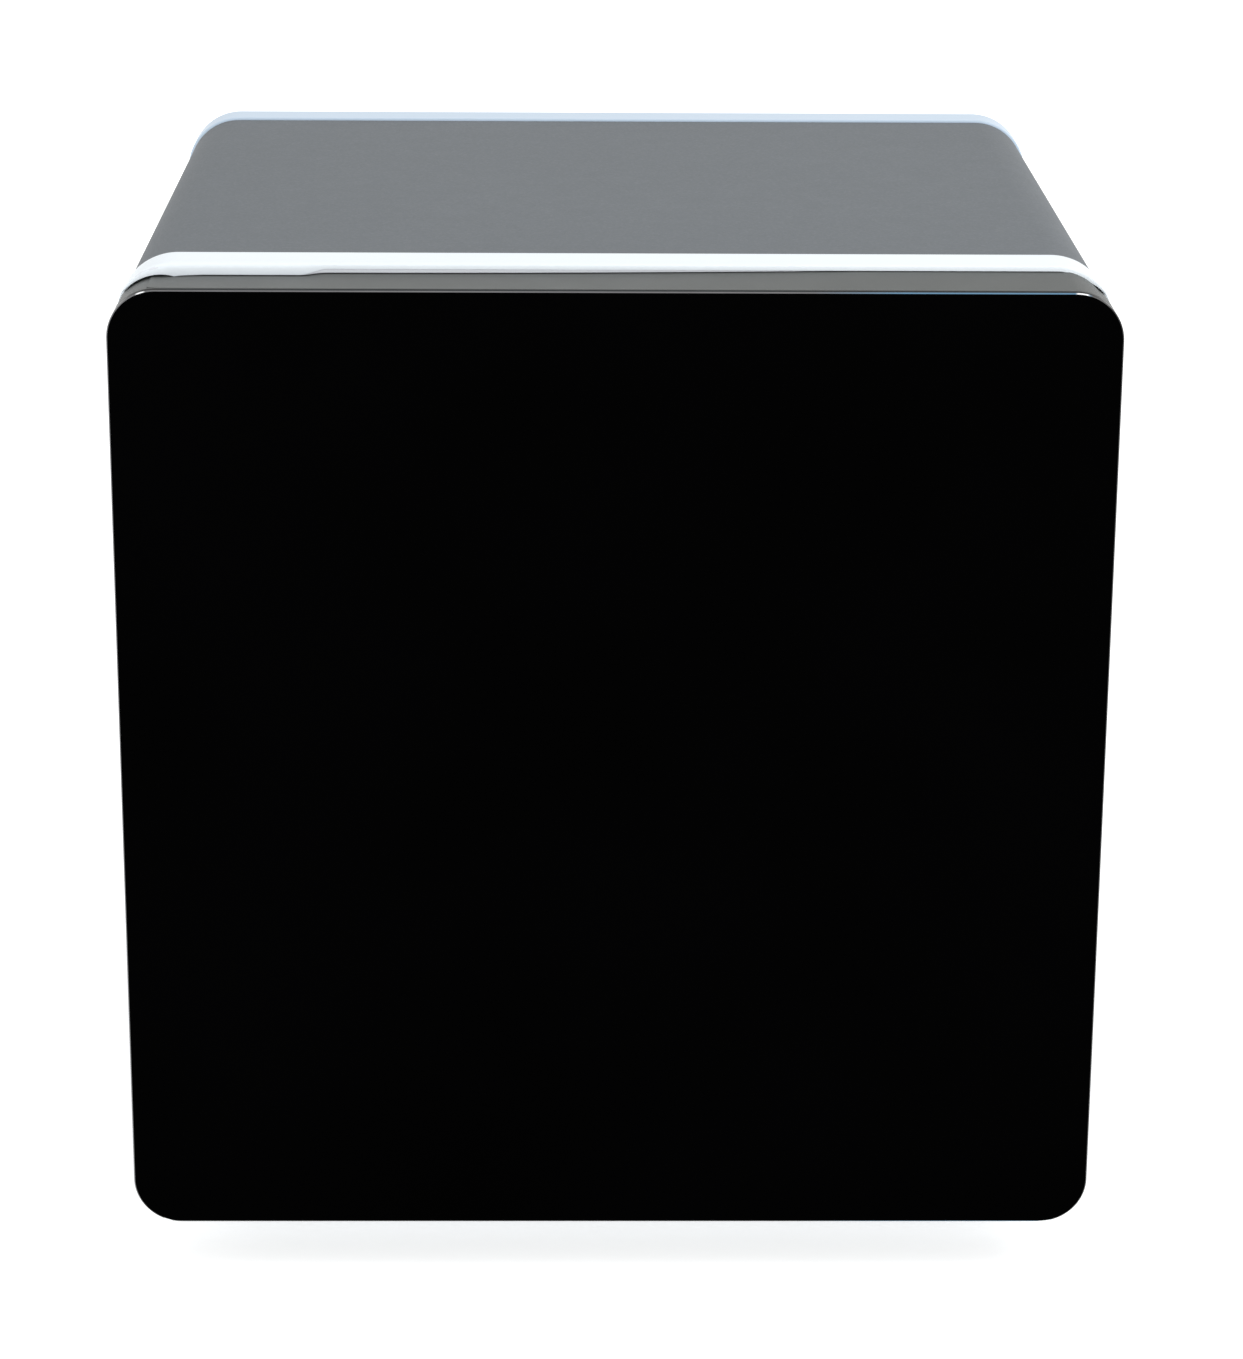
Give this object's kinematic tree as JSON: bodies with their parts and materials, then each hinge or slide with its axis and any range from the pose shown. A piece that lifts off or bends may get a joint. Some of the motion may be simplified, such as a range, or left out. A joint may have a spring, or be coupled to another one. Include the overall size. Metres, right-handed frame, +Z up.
{
  "type": "mini fridge",
  "caption": "Cube counter-top fridge: black glass door with hinge and seal, white end rings, grey wrapper, lined cavity with shelves, thermoelectric cooler.",
  "frame": {"origin": "on the floor, under the middle of the whole object's footprint", "axes": "+Z up, the door faces -Y, +X to the right seen from the front; the door is hinged on the -X side"},
  "size_m": [0.441, 0.418, 0.47],
  "materials": {
    "black_glass": "opaque black-backed glass, high polish",
    "black_adhesive": "matte black bonding tape",
    "rim_grey": "fine satin moulded plastic, warm grey",
    "foam": "rigid polyurethane foam",
    "liner_white": "vacuum-formed white polystyrene, soft gloss",
    "seal_grey": "soft light grey vinyl",
    "magnet": "flexible ferrite magnet strip",
    "rack_clear": "milky translucent moulded polystyrene",
    "bush_nylon": "natural nylon",
    "zinc_steel": "zinc-plated steel",
    "ring_white": "glossy cool white moulded ABS",
    "strike_white": "white painted steel strip",
    "wrapper_grey": "finely textured grey powder coat",
    "galvanised": "galvanised sheet with spangle",
    "clear_glass": "clear toughened glass, green edge",
    "aluminium": "extruded, as-made",
    "module_ceramic": "white alumina plates",
    "fan_black": "black glass-filled nylon",
    "panel_grey": "satin grey coated sheet",
    "box_grey": "grey moulded plastic",
    "board_green": "solder-masked circuit board",
    "lens_frosted": "frosted translucent acrylic",
    "dial_grey": "satin moulded knob",
    "foot_black": "black moulded plastic",
    "foot_rubber": "black rubber"
  },
  "bodies": {
    "cabinet": {"upper_hinge_bracket": "zinc_steel", "lower_hinge_bracket": "zinc_steel", "hinge_pins": "zinc_steel", "hinge_screws": "zinc_steel", "front_ring": "ring_white", "strike_frame": "strike_white", "outer_wrapper": "wrapper_grey", "rear_ring": "ring_white", "inner_liner": "liner_white", "cabinet_foam": "foam", "back_plate": "galvanised", "lower_shelf": "clear_glass", "upper_shelf": "clear_glass", "lower_shelf_trim": "liner_white", "upper_shelf_trim": "liner_white", "spacer_block": "aluminium", "thermoelectric_module": "module_ceramic", "cold_sink": "aluminium", "hot_sink": "aluminium", "sink_screws": "zinc_steel", "cold_fan_frame": "fan_black", "hot_fan_frame": "fan_black", "hot_fan_screws": "zinc_steel", "duct_cover": "liner_white", "duct_screws": "zinc_steel", "rear_panel": "panel_grey", "rear_panel_screws": "zinc_steel", "power_inlet": "fan_black", "inlet_screws": "zinc_steel", "control_box": "box_grey", "power_board": "board_green", "light_pod": "liner_white", "lamp_lens": "lens_frosted", "lamp_board": "board_green", "thermostat_switch": "box_grey", "foot_inserts": "bush_nylon", "rear_feet": "foot_rubber", "rear_foot_screws": "zinc_steel"},
    "door": {"door_glass": "black_glass", "glass_bond": "black_adhesive", "door_rim": "rim_grey", "door_foam": "foam", "door_liner": "liner_white", "gasket": "seal_grey", "gasket_magnets": "magnet", "hinge_bushes": "bush_nylon"},
    "upper_rack": {"upper_rack": "rack_clear"},
    "lower_rack": {"lower_rack": "rack_clear"},
    "cold_fan": {"cold_fan_rotor": "fan_black"},
    "hot_fan": {"hot_fan_rotor": "fan_black"},
    "thermostat_dial": {"thermostat_dial": "dial_grey"},
    "foot_left": {"front_foot_left": "foot_black"},
    "foot_right": {"front_foot_right": "foot_black"}
  },
  "joints": [
    {"name": "door_hinge", "type": "hinge", "parent": "cabinet", "child": "door", "pos_m": [-0.211, -0.189, 0], "axis": [0, 0, -1], "range_deg": [0, 110]},
    {"name": "upper_rack_lift", "type": "slide", "parent": "door", "child": "upper_rack", "axis": [0, 0, 1], "range_m": [0, 0.018]},
    {"name": "lower_rack_lift", "type": "slide", "parent": "door", "child": "lower_rack", "axis": [0, 0, 1], "range_m": [0, 0.018]},
    {"name": "cold_fan_spin", "type": "hinge", "parent": "cabinet", "child": "cold_fan", "pos_m": [0, 0.042, 0.357], "axis": [0, 1, 0], "continuous": true},
    {"name": "hot_fan_spin", "type": "hinge", "parent": "cabinet", "child": "hot_fan", "pos_m": [0, 0.17, 0.357], "axis": [0, 1, 0], "continuous": true},
    {"name": "thermostat_turn", "type": "hinge", "parent": "cabinet", "child": "thermostat_dial", "pos_m": [0.166, -0.014, 0.391], "axis": [-1, 0, 0], "range_deg": [0, 270]},
    {"name": "foot_left_turn", "type": "hinge", "parent": "cabinet", "child": "foot_left", "pos_m": [-0.18, -0.125, 0], "axis": [0, 0, 1], "range_deg": [-720, 720]},
    {"name": "foot_right_turn", "type": "hinge", "parent": "cabinet", "child": "foot_right", "pos_m": [0.18, -0.125, 0], "axis": [0, 0, 1], "range_deg": [-720, 720]}
  ]
}
